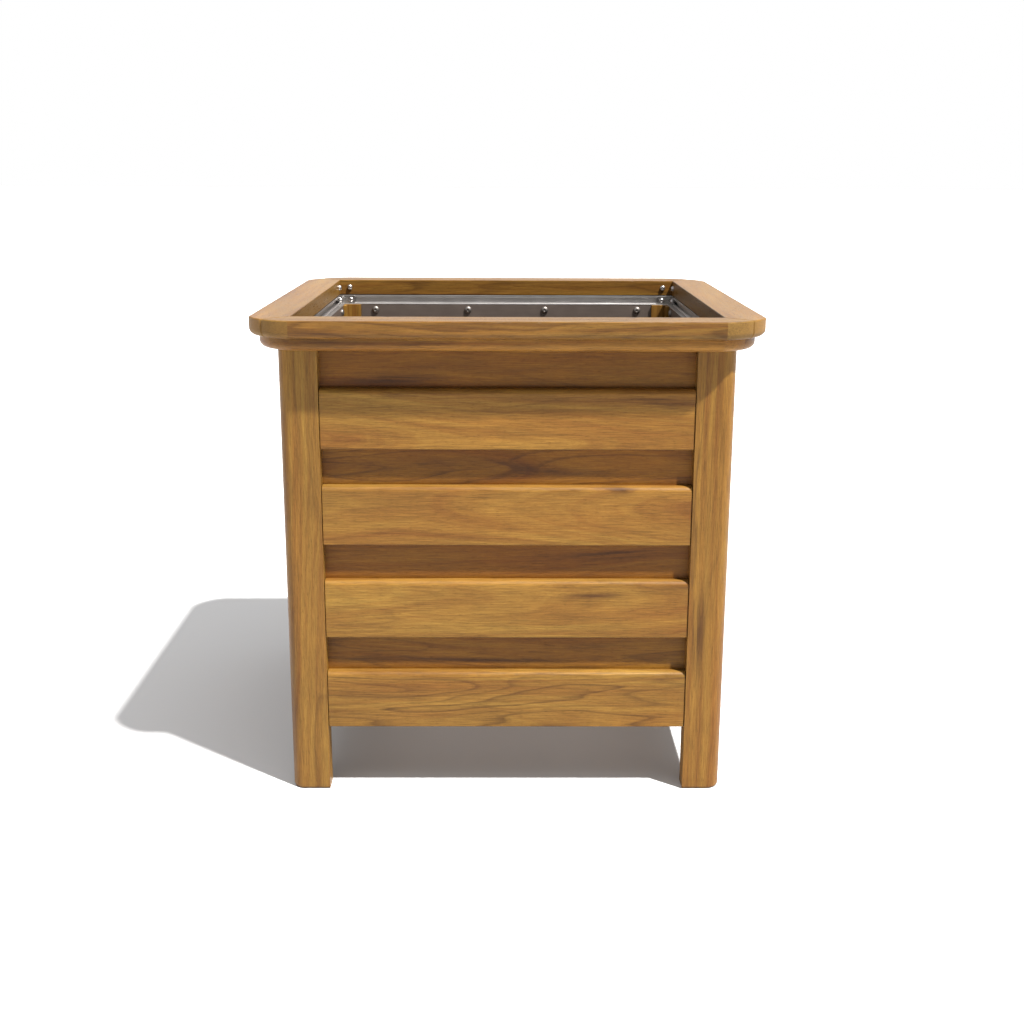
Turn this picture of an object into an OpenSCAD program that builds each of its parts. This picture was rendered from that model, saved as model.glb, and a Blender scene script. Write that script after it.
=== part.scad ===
// Square timber street planter.
// Four L-section corner posts stand on the ground and carry grooves for the walls.
// Each wall is a stack of proud boards and thinner recessed boards, lapped together.
// A mitred cap and bed moulding sit on the posts, around a ring of lipped steel channel.
// Bolted steel plates line the walls, and a perforated plate on bearers makes the floor.
// Millimetres, +Z up, origin on the ground under the centre. The front faces -Y.

/* [Overall] */
// Width and depth over the cap
planter_w = 900; // [860:5:960]
// Height to the top of the cap
planter_h = 880; // [870:1:900]

/* [Posts] */
// Width of a post on each of its outer faces
post_w = 70; // [64:1:80]
// Thickness of a post's two arms
post_arm = 40; // [36:1:44]
// Radius of a post's outer corner
post_round = 24; // [14:1:28]
// Radius round the outer bottom edge of a foot
foot_round = 6; // [2:0.5:10]
// How far the posts stand back from the edge of the cap
rim_overhang = 50; // [40:1:60]

/* [Walls] */
// Clear height under the lowest board
leg_h = 124; // [110:1:128]
// Height of a proud board
board_h = 108; // [100:1:110]
// Height of the recessed strip seen between two proud boards
strip_h = 67; // [60:1:68]
// Thickness of a proud board
board_t = 30; // [28:1:32]
// Radius of a proud board's upper front edge
board_nose = 10; // [4:1:14]
// Radius of a proud board's lower front edge
board_drip = 2.5; // [1:0.5:4]
// Thickness of a recessed board
infill_t = 10; // [10:0.5:13]
// How far a proud board's face lies behind the post's face
board_set = 2; // [1:0.5:4]
// How far the recessed boards lap behind the proud boards
lap = 8; // [5:1:12]
// Depth of the groove in the posts
groove = 10; // [6:1:12]
// Shadow gap between a board's shoulder and the post
shoulder_gap = 1; // [0.5:0.5:2]

/* [Rim] */
// Width of the cap
cap_w = 72.5; // [70:0.5:76]
// Thickness of the cap
cap_t = 32; // [28:1:36]
// How far from its corners the cap is cut back to a blunt arc
cap_blunt = 79; // [70:1:85]
// Plan radius of the blunt arc at the cap's corners
cap_corner = 115; // [105:1:140]
// Radius of the cap's upper outer edge
cap_arris = 2.5; // [1:0.5:5]
// Radius of the cap's lower outer edge
cap_under = 12; // [8:1:18]
// Height of the bed moulding under the cap
mould_h = 22; // [20:1:24]
// How far the bed moulding stands back from the cap's edge
mould_set = 17.5; // [16:0.5:22]
// Radius of the bed moulding's lower outer edge
mould_under = 13; // [10:1:18]

/* [Steelwork] */
// Height of the lipped channel
channel_h = 20; // [18:0.5:20]
// Depth of the lipped channel
channel_d = 8.5; // [8:0.5:9]
// Sheet thickness of the channel
channel_t = 2; // [1.5:0.25:2.5]
// Height of the channel's turned lips
lip_h = 5; // [4:0.5:5.5]
// Leg of a corner plate
plate_leg = 34; // [30:1:40]
// Thickness of a corner plate
plate_t = 2.5; // [2:0.25:3]
// Thickness of the wall lining
lining_t = 2; // [1.5:0.25:3]
// Diameter of the drain holes in the floor plate
drain_d = 18; // [10:1:30]

/* [Fasteners] */
// Head diameter of the lining bolts
lining_head = 16; // [12:1:18]
// Head diameter of the cap screws
cap_head = 12; // [10:1:14]
// Head diameter of the corner plate bolts
plate_head = 11; // [9:1:12]

/* [Hidden] */
$fn = 64;
SIDES = ["front", "right", "rear", "left"];
CORNERS = ["front_left", "front_right", "rear_right", "rear_left"];
ROWS = 4;

// Plan positions, each measured outwards from the centre
rim_face = planter_w / 2;
cap_in = rim_face - cap_w;
rim_blunt = rim_face - cap_blunt;
rim_centre = (rim_blunt + rim_face - sqrt(2 * pow(cap_corner, 2) - pow(cap_blunt, 2))) / 2;
rim_mitre = rim_centre + cap_corner / sqrt(2);
mould_face = rim_face - mould_set;
mould_in = cap_in + channel_d;
post_face = rim_face - rim_overhang;
post_in = post_face - post_w;
notch_in = post_face - post_arm;
board_face = post_face - board_set;
board_back = board_face - board_t;
infill_face = board_back + infill_t;
lining_in = board_back - lining_t;
plate_in = cap_in - plate_t;

// Heights
cap_z = planter_h - cap_t;
wall_top = cap_z - mould_h;
pitch = board_h + strip_h;
function board_z(n) = leg_h + (ROWS - n) * pitch;
function infill_z0(n) = board_z(n) + board_h - lap;
function infill_z1(n) = n == 1 ? wall_top : board_z(n - 1) + lap;

// Bolt positions along a wall, and the heights of their rows
bolt_xs = [for (s = [-1, 1]) for (x = [0.132, 0.45]) s * x * 2 * post_in];
bolt_top_z = wall_top - 11.5;
bolt_board_rise = board_h - 22;
bolt_d = 6;
bolt_bite = 8;
socket_d = 5;

// Screws and bolts near the inner corners of the rim
cap_screw_in = 22;
cap_screw_z = cap_z + cap_t / 2;
cap_screw_l = 40;
plate_bolt_in = 24;
plate_bolt_z = wall_top + channel_h / 2;
plate_bolt_d = 5;
plate_bolt_bite = 20;
plate_margin = 1;

// Splines across the cap's mitres
spline_l = 46;
spline_w = 30;
spline_t = 6;
spline_at = (rim_mitre + cap_in) / 2;

// Floor
lining_z = leg_h + 6;
cleat = 34;
cleat_gap = 2;
bearer_w = 60;
bearer_h = 30;
bearer_gap = 1;
bearer_xs = [-220, 0, 220];
floor_t = 2;
floor_gap = 0.5;
drain_xs = [for (s = [-1, 1]) for (x = [75, 145, 300]) s * x];
drain_ys = [-240:120:240];
bearer_z = lining_z + cleat;
floor_z = bearer_z + bearer_h;

eps = 1;

// Extrudes a section along X. The section's x points outwards (-Y) and its y points up.
module along_x(length) {
    rotate([90, 0, 90]) linear_extrude(length, center = true) mirror([1, 0]) children();
}

// The waste outside a quarter round, on a corner at the origin with the wood at +x +y
module round_waste(r) {
    difference() {
        translate([-eps, -eps]) square(r + eps);
        translate([r, r]) circle(r);
    }
}

// Keeps the part of a front rail between its two 45 degree mitres
module mitre_wedge() {
    reach = planter_w;
    linear_extrude(planter_h + eps) polygon([[0, 0], [-reach, -reach], [reach, -reach]]);
}

// Section of a rim rail, from u0 out to u1, with rounded outer edges
module rail_section(u0, u1, z0, h, top_r, under_r) {
    difference() {
        translate([u0, z0]) square([u1 - u0, h]);
        translate([u1, z0]) mirror([1, 0]) round_waste(under_r);
        if (top_r > 0) translate([u1, z0 + h]) rotate(180) round_waste(top_r);
    }
}

// A front rim rail, mitred, with its outer corners cut back to blunt arcs
module rim_rail(face, inner, z0, h, top_r, under_r) {
    difference() {
        intersection() {
            along_x(2 * face) rail_section(inner, face, z0, h, top_r, under_r);
            mitre_wedge();
        }
        for (s = [-1, 1]) corner_waste(s, face, z0, h, top_r, under_r);
    }
}

// The waste outside the blunt arc, on the front corner at side s.
// The arcs of the cap and the bed moulding have the same centres.
module corner_waste(s, face, z0, h, top_r, under_r) {
    arc_r = cap_corner - rim_face + face;
    run = face - rim_centre + eps;
    difference() {
        translate([s * (rim_centre + run / 2), -rim_centre - run / 2, z0 + h / 2])
            cube([run, run, h + 2 * eps], center = true);
        translate([s * rim_centre, -rim_centre, 0])
            rotate_extrude() rail_section(0, arc_r, z0, h, top_r, under_r);
    }
}

// A cylinder that points outwards (-Y) from the plane at the given distance
module peg(x, from, z, d, length) {
    translate([x, -from, z]) rotate([90, 0, 0]) cylinder(h = length, d = d);
}

// Domed head with a hex socket, bedded on the plane at `from` and rising inwards
module domed_head(x, from, z, d, h) {
    dome_r = (d * d / 4 + h * h) / (2 * h);
    translate([x, -from, z]) rotate([-90, 0, 0]) difference() {
        rotate_extrude() intersection() {
            translate([0, h - dome_r]) circle(dome_r);
            square([d / 2, h]);
        }
        translate([0, 0, h / 2]) cylinder(h = h, d = socket_d, $fn = 6);
    }
}

// One corner post, front left: L-section with a rounded outer corner
module post() {
    centre = post_face - post_round;
    color("#A4713A") difference() {
        linear_extrude(wall_top) difference() {
            union() {
                translate([-centre, -post_face]) square([post_w - post_round, post_w]);
                translate([-post_face, -centre]) square([post_w, post_w - post_round]);
                translate([-centre, -centre]) circle(post_round);
            }
            translate([-notch_in, -notch_in]) square(post_w);
        }
        // grooves that house the wall boards
        translate([-post_in - groove, -infill_face, leg_h])
            cube([groove + eps, infill_t, wall_top]);
        translate([-infill_face, -post_in - groove, leg_h])
            cube([infill_t, groove + eps, wall_top]);
        foot_waste(centre);
    }
}

// The waste that rounds the outer bottom edges of a foot
module foot_waste(centre) {
    run = post_w - post_round + eps;
    translate([-centre + run / 2, 0, 0])
        along_x(run) translate([post_face, 0]) mirror([1, 0]) round_waste(foot_round);
    translate([0, -centre + run / 2, 0]) rotate([0, 0, -90])
        along_x(run) translate([post_face, 0]) mirror([1, 0]) round_waste(foot_round);
    translate([-centre, -centre, 0]) rotate([0, 0, 180])
        rotate_extrude(angle = 90)
            translate([post_round, 0]) mirror([1, 0]) round_waste(foot_round);
}

// Proud board n of the front wall, counted from the top
module board(n) {
    z0 = board_z(n);
    low_lap = n == ROWS ? 0 : lap;
    tongue = 2 * (post_in + groove);
    color("#B07C40") difference() {
        union() {
            along_x(2 * (post_in - shoulder_gap))
                translate([infill_face, z0]) nosed_face(board_face - infill_face);
            along_x(tongue)
                translate([board_back, z0 + low_lap]) square([infill_t, board_h - lap - low_lap]);
        }
        for (x = bolt_xs) peg(x, board_back - eps, z0 + bolt_board_rise, bolt_d, bolt_bite + eps);
    }
}

// Front part of a proud board's section, with its two rounded edges
module nosed_face(t) {
    difference() {
        square([t, board_h]);
        translate([t, 0]) mirror([1, 0]) round_waste(board_drip);
        translate([t, board_h]) rotate(180) round_waste(board_nose);
    }
}

// Recessed board n of the front wall, counted from the top
module infill(n) {
    z0 = infill_z0(n);
    color("#8A5A2B") difference() {
        along_x(2 * (post_in + groove))
            translate([board_back, z0]) square([infill_t, infill_z1(n) - z0]);
        if (n == 1)
            for (x = bolt_xs) peg(x, board_back - eps, bolt_top_z, bolt_d, bolt_bite + eps);
    }
}

// Front rail of the cap, with its screw holes and the slots for the splines
module cap() {
    color("#C79B6A") difference() {
        rim_rail(rim_face, cap_in, cap_z, cap_t, cap_arris, cap_under);
        for (s = [-1, 1]) {
            peg(s * (cap_in - cap_screw_in), cap_in - eps, cap_screw_z, bolt_d, cap_screw_l + eps);
            spline(s);
        }
    }
}

// Hardwood spline across the front mitre on side s
module spline(s) {
    translate([s * spline_at, -spline_at, cap_screw_z])
        rotate([0, 0, -45 * s]) cube([spline_l, spline_w, spline_t], center = true);
}

module cap_splines() {
    color("#9B6B38") for (k = [0:3]) rotate([0, 0, 90 * k]) spline(-1);
}

// Front rail of the bed moulding under the cap
module moulding() {
    color("#A87440") difference() {
        rim_rail(mould_face, mould_in, wall_top, mould_h, 0, mould_under);
        for (s = [-1, 1])
            peg(s * (cap_in - plate_bolt_in), mould_in - eps, plate_bolt_z,
                plate_bolt_d, plate_bolt_bite + eps);
    }
}

// Section of the lipped channel, open towards the inside.
// Its foot reaches in over the top of the wall, to the face of the lining.
module channel_section() {
    foot = cap_in - lining_in;
    translate([cap_in, wall_top]) difference() {
        union() {
            square([channel_d, channel_h]);
            translate([-foot, 0]) square([foot + channel_t, channel_t]);
        }
        translate([channel_t, channel_t])
            square([channel_d - 2 * channel_t, channel_h - 2 * channel_t]);
        translate([-eps, lip_h]) square([channel_t + 2 * eps, channel_h - 2 * lip_h]);
    }
}

// Front length of the channel ring, mitred
module channel() {
    color("#8E8B88") difference() {
        intersection() {
            along_x(2 * mould_in) channel_section();
            mitre_wedge();
        }
        for (s = [-1, 1])
            peg(s * (cap_in - plate_bolt_in), cap_in - eps, plate_bolt_z,
                plate_bolt_d, channel_d + 2 * eps);
    }
}

// One leg of the front left corner plate, with a rounded end. It stands on the channel's foot.
module plate_leg_half(x0) {
    end_r = 4;
    z0 = wall_top + channel_t;
    h = channel_h - channel_t - plate_margin;
    translate([0, -plate_in, z0]) rotate([90, 0, 0])
        linear_extrude(plate_t) difference() {
            translate([x0, 0]) square([plate_leg, h]);
            translate([x0 + plate_leg, h]) rotate(180) round_waste(end_r);
            translate([x0 + plate_leg, 0]) mirror([1, 0]) round_waste(end_r);
            translate([-cap_in + plate_bolt_in, plate_bolt_z - z0]) circle(d = plate_bolt_d);
        }
}

module corner_plates() {
    color("#55504C") for (k = [0:3]) rotate([0, 0, 90 * k]) union() {
        plate_leg_half(-cap_in);
        mirror([1, -1, 0]) plate_leg_half(-cap_in);
    }
}

// Lining plate of the front wall
module lining() {
    w = 2 * (post_in - floor_gap);
    h = wall_top - eps - lining_z;
    color("#5E564F") difference() {
        translate([-w / 2, -board_back, lining_z]) cube([w, lining_t, h]);
        for (x = bolt_xs) {
            peg(x, lining_in - eps, bolt_top_z, bolt_d, lining_t + 2 * eps);
            for (n = [1:ROWS])
                peg(x, lining_in - eps, board_z(n) + bolt_board_rise, bolt_d, lining_t + 2 * eps);
        }
    }
}

// Four battens round the walls. The side pair is higher by the depth of the bearers.
module floor_cleats() {
    color("#8F6334") for (k = [0:3]) rotate([0, 0, 90 * k])
        translate([cleat_gap - post_in, -lining_in, lining_z + (k % 2) * bearer_h])
            cube([2 * (post_in - cleat_gap), cleat, cleat]);
}

// Three bearers that span from the front batten to the rear one
module floor_bearers() {
    length = 2 * (lining_in - bearer_gap);
    color("#8F6334") for (x = bearer_xs)
        translate([x - bearer_w / 2, -length / 2, bearer_z]) cube([bearer_w, length, bearer_h]);
}

// Perforated floor plate, cut out round the four posts
module floor_plate() {
    reach = lining_in - floor_gap;
    between = post_in - floor_gap;
    inside = notch_in - floor_gap;
    color("#6E6862") translate([0, 0, floor_z]) linear_extrude(floor_t) difference() {
        union() {
            square([2 * reach, 2 * between], center = true);
            square([2 * between, 2 * reach], center = true);
            square(2 * inside, center = true);
        }
        // the holes stand clear of the bearers below
        for (x = drain_xs) for (y = drain_ys) translate([x, y]) circle(d = drain_d);
    }
}

// Two screws in each cap rail, one near each inner corner
module cap_screws() {
    head_h = 5.5;
    color("#C9C7C2") for (k = [0:3]) rotate([0, 0, 90 * k]) for (s = [-1, 1]) {
        x = s * (cap_in - cap_screw_in);
        domed_head(x, cap_in, cap_screw_z, cap_head, head_h);
        peg(x, cap_in, cap_screw_z, bolt_d, cap_screw_l);
    }
}

// Two bolts in each channel, through the corner plates into the bed moulding
module corner_plate_bolts() {
    head_h = 4.5;
    length = plate_t + channel_d + plate_bolt_bite;
    color("#C9C7C2") for (k = [0:3]) rotate([0, 0, 90 * k]) for (s = [-1, 1]) {
        x = s * (cap_in - plate_bolt_in);
        domed_head(x, plate_in, plate_bolt_z, plate_head, head_h);
        peg(x, plate_in, plate_bolt_z, plate_bolt_d, length);
    }
}

// One bolt of the lining, through the plate and into the board behind it
module lining_bolt(x, z) {
    head_h = 5;
    domed_head(x, lining_in, z, lining_head, head_h);
    peg(x, lining_in, z, bolt_d, lining_t + bolt_bite);
}

module lining_bolts() {
    color("#A09A94") for (k = [0:3]) rotate([0, 0, 90 * k]) for (x = bolt_xs) {
        lining_bolt(x, bolt_top_z);
        for (n = [1:ROWS]) lining_bolt(x, board_z(n) + bolt_board_rise);
    }
}

// Each front or front left piece is turned round the centre to its own place
for (k = [0:3]) {
    turn = [0, 0, 90 * k];
    rotate(turn) post();
    for (n = [1:ROWS]) {
        rotate(turn) board(n);
        rotate(turn) infill(n);
    }
    rotate(turn) cap();
    rotate(turn) moulding();
    rotate(turn) channel();
    rotate(turn) lining();
}
cap_splines();
corner_plates();
floor_cleats();
floor_bearers();
floor_plate();
cap_screws();
corner_plate_bolts();
lining_bolts();
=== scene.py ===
"""Square timber street planter: its visible pieces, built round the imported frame."""

import math

import bmesh
import bpy
from mathutils import Matrix, Vector


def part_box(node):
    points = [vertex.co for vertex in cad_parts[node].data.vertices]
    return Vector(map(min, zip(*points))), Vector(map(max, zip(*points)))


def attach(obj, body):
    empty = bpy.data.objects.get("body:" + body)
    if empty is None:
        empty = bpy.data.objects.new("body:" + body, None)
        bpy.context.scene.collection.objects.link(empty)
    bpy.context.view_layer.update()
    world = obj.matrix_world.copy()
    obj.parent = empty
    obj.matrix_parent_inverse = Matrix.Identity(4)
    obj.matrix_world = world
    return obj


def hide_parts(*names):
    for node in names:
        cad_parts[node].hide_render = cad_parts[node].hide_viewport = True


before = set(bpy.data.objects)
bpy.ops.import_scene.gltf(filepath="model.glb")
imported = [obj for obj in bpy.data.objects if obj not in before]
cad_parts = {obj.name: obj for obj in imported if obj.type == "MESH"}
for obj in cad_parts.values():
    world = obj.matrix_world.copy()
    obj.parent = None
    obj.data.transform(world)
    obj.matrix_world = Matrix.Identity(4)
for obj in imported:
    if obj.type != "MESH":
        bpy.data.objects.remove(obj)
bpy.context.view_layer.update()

bl_info = {
    "name": "Timber Street Planter",
    "version": (1, 0, 0),
    "blender": (4, 5, 0),
    "location": "View3D > Sidebar > Planter",
    "description": "Builds the timber, steelwork and stage of a square street planter",
    "category": "Add Mesh",
}

SIDES = ("front", "right", "rear", "left")
CORNERS = ("front_left", "front_right", "rear_right", "rear_left")
ROWS = (1, 2, 3, 4)
BODY = "root"
# Pieces with a bold figure: its strength, then a dark streak's place along and across
# the piece, and its reach, in metres.
FIGURED = {
    "board_front_1": (0.25, 0.26, 0.727, 0.15),
    "board_front_2": (0.20, 0.20, 0.573, 0.05),
    "board_front_3": (0.15, 0.16, 0.378, 0.09),
    "board_front_4": (0.55, -0.22, 0.190, 0.14),
    "infill_front_1": (0.35, -0.20, 0.775, 0.16),
    "infill_front_2": (0.45, -0.08, 0.612, 0.42),
    "infill_front_3": (0.20, 0.20, 0.455, 0.18),
    "infill_front_4": (0.90, -0.05, 0.250, 0.34),
    "post_front_right": (0.50, 0.30, -0.346, 0.13),
    "cap_front": (0.80, -0.33, 0.862, 0.12),
    "moulding_front": (0.60, -0.33, 0.838, 0.14),
}
# How far a cutting tool reaches past the face it enters.
PAST = 0.001
# Radius of the heads of the lining bolts.
LINING_HEAD = 0.008
# Heights of the heads of the cap screws, the corner plate bolts and the lining bolts.
CAP_HEAD_RISE = 0.0055
PLATE_HEAD_RISE = 0.0045
LINING_HEAD_RISE = 0.005
# Places of the lining bolts, as shares of the width between the posts.
BOLT_SHARES = (0.132, 0.45)
# Columns of drain holes along X, and the pitch of their rows.
DRAIN_COLUMNS = (-0.300, -0.145, -0.075, 0.075, 0.145, 0.300)
DRAIN_PITCH = 0.120
# Rounding of the edges of the bent channel and of the flat plates.
CHANNEL_ARRIS = 0.0005
PLATE_ARRIS = 0.0004
# Edges that turn by more than this many degrees are rounded.
SHARP_TURN = 31
# Rails shade smooth only below this angle, so the creases of their corners stay crisp.
RAIL_LIMIT = 13


def length(name, default, description):
    """A length that a user can change."""
    return bpy.props.FloatProperty(
        name=name, description=description, default=default, min=0.0, precision=4,
        unit="LENGTH", subtype="DISTANCE",
    )


def colour(name, default, description):
    """A linear colour that a user can change."""
    return bpy.props.FloatVectorProperty(
        name=name, description=description, default=default, size=3, min=0.0, max=1.0,
        subtype="COLOR",
    )


def plain(name, default, description):
    """A number without a unit that a user can change."""
    return bpy.props.FloatProperty(name=name, description=description, default=default)


class PlanterShape(bpy.types.PropertyGroup):
    """Sizes of the pieces that their boxes in the frame don't give."""

    arris: length("Arris", 0.0012, "Rounding of the planed edges of the timber")
    mitre_vee: length("Mitre vee", 0.0024, "Chamfer that leaves a fine vee along the mitres")
    post_arm: length("Post arm", 0.040, "Thickness of the two arms of a post")
    post_round: length("Post corner", 0.024, "Radius of a post's outer corner")
    foot_round: length("Foot round", 0.006, "Radius round the bottom of a foot")
    nose: length("Board nose", 0.010, "Radius of a proud board's upper front edge")
    drip: length("Board drip", 0.0025, "Radius of a proud board's lower front edge")
    bolt_bite: length("Bolt bite", 0.008, "How far the lining bolts run into the boards")
    lap: length("Lap", 0.008, "How far recessed boards lap behind proud ones")
    groove: length("Groove", 0.010, "Depth of the grooves in the posts")
    shoulder: length("Shoulder gap", 0.001, "Shadow gap at the ends of the proud boards")
    cap_corner: length("Cap corner", 0.115, "Plan radius of the blunt arc at the cap's corners")
    cap_top: length("Cap top round", 0.0025, "Radius of the cap's upper outer edge")
    cap_under: length("Cap under round", 0.012, "Radius of the cap's lower outer edge")
    mould_under: length("Moulding round", 0.013, "Radius of the moulding's lower outer edge")
    sheet: length("Channel sheet", 0.002, "Thickness of the steel channel")
    lip: length("Channel lip", 0.005, "Height of the channel's turned lips")
    plate: length("Corner plate", 0.0025, "Thickness of the corner plates")
    plate_leg: length("Plate leg", 0.034, "Length of a corner plate's leg")
    plate_end: length("Plate end", 0.004, "Radius at the ends of a corner plate")
    screw_in: length("Screw inset", 0.022, "From a cap rail's inner corner to its screw")
    bolt_in: length("Bolt inset", 0.024, "From a channel's inner corner to its bolt")
    shank: length("Shank", 0.003, "Radius of the shanks of screws and lining bolts")
    thin_shank: length("Thin shank", 0.0025, "Radius of the shanks of the corner plate bolts")
    drain: length("Drain hole", 0.018, "Diameter of the drain holes in the floor plate")


class PlanterFinish(bpy.types.PropertyGroup):
    """Colours of the oiled timber and the steel."""

    pale: colour("Pale wood", (0.232, 0.125, 0.024), "Lightest early wood")
    golden: colour("Golden wood", (0.170, 0.080, 0.0150), "Main tone of the timber")
    brown: colour("Brown wood", (0.122, 0.047, 0.0095), "Late wood between the pale bands")
    streak: colour("Dark streak", (0.040, 0.014, 0.005), "Mineral streaks in the figure")
    end_grain: colour("End grain", (0.188, 0.102, 0.024), "Olive tone of fibres cut across")
    bright_steel: colour("Bright steel", (0.50, 0.48, 0.465), "Stainless steel of the rails")
    grey_steel: colour("Grey steel", (0.150, 0.118, 0.100), "Coated steel of the lining")
    dull_steel: colour("Dull steel", (0.20, 0.18, 0.165), "Steel of the lining bolts")
    plate_steel: colour("Plate steel", (0.36, 0.35, 0.34), "Polished corner plates")


class PlanterStage(bpy.types.PropertyGroup):
    """Camera, light and floor."""

    eye: bpy.props.FloatVectorProperty(
        name="Eye", description="Place of the camera", default=(-0.01011, -2.73965, 1.1392),
        size=3, unit="LENGTH", subtype="XYZ",
    )
    pitch: bpy.props.FloatProperty(
        name="Pitch", description="How far the camera looks down", default=0.252,
        unit="ROTATION", subtype="ANGLE",
    )
    yaw: bpy.props.FloatProperty(
        name="Yaw", description="How far the camera turns to the right", default=0.008,
        unit="ROTATION", subtype="ANGLE",
    )
    roll: bpy.props.FloatProperty(
        name="Roll", description="How far the camera leans", default=0.004,
        unit="ROTATION", subtype="ANGLE",
    )
    lens: plain("Lens", 47.72, "Focal length in millimetres on a 36 mm sensor")
    sun_from: bpy.props.FloatVectorProperty(
        name="Sun from", description="Direction towards the key light",
        default=(0.44, -0.35, 1.0), size=3, subtype="DIRECTION",
    )
    sun_strength: plain("Sun strength", 11.0, "Strength of the key light")
    sun_angle: bpy.props.FloatProperty(
        name="Sun angle", description="Width of the key light, which softens its shadow",
        default=math.radians(2.2), unit="ROTATION", subtype="ANGLE",
    )
    under_fill: plain("Under fill", 0.5, "Power of the glow between the planter and the floor")
    overhead: plain("Overhead", 2.6, "Strength of the soft light straight above")
    low_fill: plain("Low fill", 0.15, "Strength of the soft light from the sides")
    sky: colour("Sky", (0.50, 0.50, 0.515), "What polished faces mirror from above")
    horizon: colour("Horizon", (1.0, 1.0, 1.0), "White surround near the floor's level")
    floor: colour("Floor", (0.55, 0.55, 0.555), "Plain pale floor")


# --- meshes ---


def put(name, data):
    """A new object in the scene."""
    made = bpy.data.objects.new(name, data)
    bpy.context.scene.collection.objects.link(made)
    return made


def mid_height(node):
    """Height of the middle of a CAD node."""
    low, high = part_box(node)
    return (low.z + high.z) / 2


def quarter(radius, steps):
    """(drop, inset) pairs round a quarter circle, from the flat face to the side face."""
    for i in range(steps + 1):
        turn = math.pi / 2 * i / steps
        yield radius * (1 - math.cos(turn)), radius * (1 - math.sin(turn))


def loft(rings, bm=None):
    """A closed mesh through rings of points, each with the same count."""
    bm = bm or bmesh.new()
    rows = [[bm.verts.new(p) for p in ring] for ring in rings]
    made = [bm.faces.new(rows[0]), bm.faces.new(rows[-1])]
    for low, high in zip(rows, rows[1:]):
        for i in range(len(low)):
            made.append(bm.faces.new((low[i - 1], low[i], high[i], high[i - 1])))
    bmesh.ops.recalc_face_normals(bm, faces=made)
    return bm


def sweep(section, start, end):
    """A bar along X whose section is a list of (y, z)."""
    return loft([[(x, y, z) for y, z in section] for x in (start, end)])


def block(low, high):
    """A bar between two corners."""
    section = [(low[1], low[2]), (high[1], low[2]), (high[1], high[2]), (low[1], high[2])]
    return sweep(section, low[0], high[0])


def soften(bm, width, steps=2):
    """Rounds every edge that turns sharply, and marks the new faces to be painted lighter: partly wear,
    partly a painted highlight on the arrises.
    """
    wear_and_highlight = bm.faces.layers.float.new("wear_and_highlight")
    limit = math.radians(SHARP_TURN)
    sharp = [e for e in bm.edges if e.is_manifold and e.calc_face_angle() > limit]
    made = bmesh.ops.bevel(
        bm, geom=sharp, offset=width, segments=steps, profile=0.5, affect="EDGES",
        clamp_overlap=True,
    )
    # These faces are painted lighter later: partly wear, partly a painted highlight.
    for face in made["faces"]:
        face[wear_and_highlight] = 1.0
    return bm


def combine(bm, tool, operation="DIFFERENCE"):
    """The mesh after a boolean with a tool mesh. Both are used up."""
    pair = []
    for part in (bm, tool):
        mesh = bpy.data.meshes.new("part")
        part.to_mesh(mesh)
        part.free()
        pair.append(put("part", mesh))
    base, cutter = pair
    modifier = base.modifiers.new("combine", "BOOLEAN")
    modifier.object = cutter
    modifier.operation = operation
    modifier.solver = "EXACT"
    result = bmesh.new()
    result.from_object(base, bpy.context.evaluated_depsgraph_get())
    for part in pair:
        mesh = part.data
        bpy.data.objects.remove(part)
        bpy.data.meshes.remove(mesh)
    return result


def ring_y(x, y, z, radius, count=24, flats=False):
    """Points round an axis along Y. With flats they lie on a hexagon."""
    points = []
    for i in range(count):
        turn = 2 * math.pi * i / count
        reach = radius
        if flats:
            reach = radius / math.cos((turn + math.pi / 6) % (math.pi / 3) - math.pi / 6)
        points.append((x + reach * math.cos(turn), y, z + reach * math.sin(turn)))
    return points


def pegs(places, start, end, radius):
    """Round bars along Y at (x, z) places."""
    bm = bmesh.new()
    for x, z in places:
        loft([ring_y(x, y, z, radius) for y in (start, end)], bm)
    return bm


def bolt(bm, x, z, tip, seat, head, height, shank):
    """A screw along Y: its shank runs from the tip to the seat, and its head stands inside.

    The head is a dome on a low rim, with a hexagon socket whose mouth is chamfered.
    """
    socket, mouth = 0.0025, 0.00295
    chamfer_at, floor_at = 0.94, 0.45
    rim = 0.18 * height
    steps, dome = 6, math.radians(66)
    rings = [ring_y(x, y, z, shank) for y in (tip, seat)]
    rings.append(ring_y(x, seat, z, head))
    for i in range(steps + 1):
        turn = dome * i / steps
        rise = rim + (height - rim) * math.sin(turn) / math.sin(dome)
        rings.append(ring_y(x, seat + rise, z, head * math.cos(turn)))
    for share, radius in ((1.0, mouth), (chamfer_at, socket), (floor_at, socket)):
        rings.append(ring_y(x, seat + height * share, z, radius, flats=True))
    loft(rings, bm)


def turned(k, local=Matrix()):
    """Places a front or front left piece on side or corner k."""
    return Matrix.Rotation(math.pi / 2 * k, 4, "Z") @ local


def finished(bm, slot, limit=38):
    """A clean mesh with the finish of a slot, shaded smooth up to a limit in degrees."""
    mesh = bpy.data.meshes.new(slot)
    bmesh.ops.remove_doubles(bm, verts=bm.verts, dist=1e-6)
    bmesh.ops.recalc_face_normals(bm, faces=bm.faces)
    bm.to_mesh(mesh)
    bm.free()
    mesh.shade_smooth()
    mesh.set_sharp_from_angle(angle=math.radians(limit))
    mesh.materials.append(finish_for(slot))
    return mesh


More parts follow.
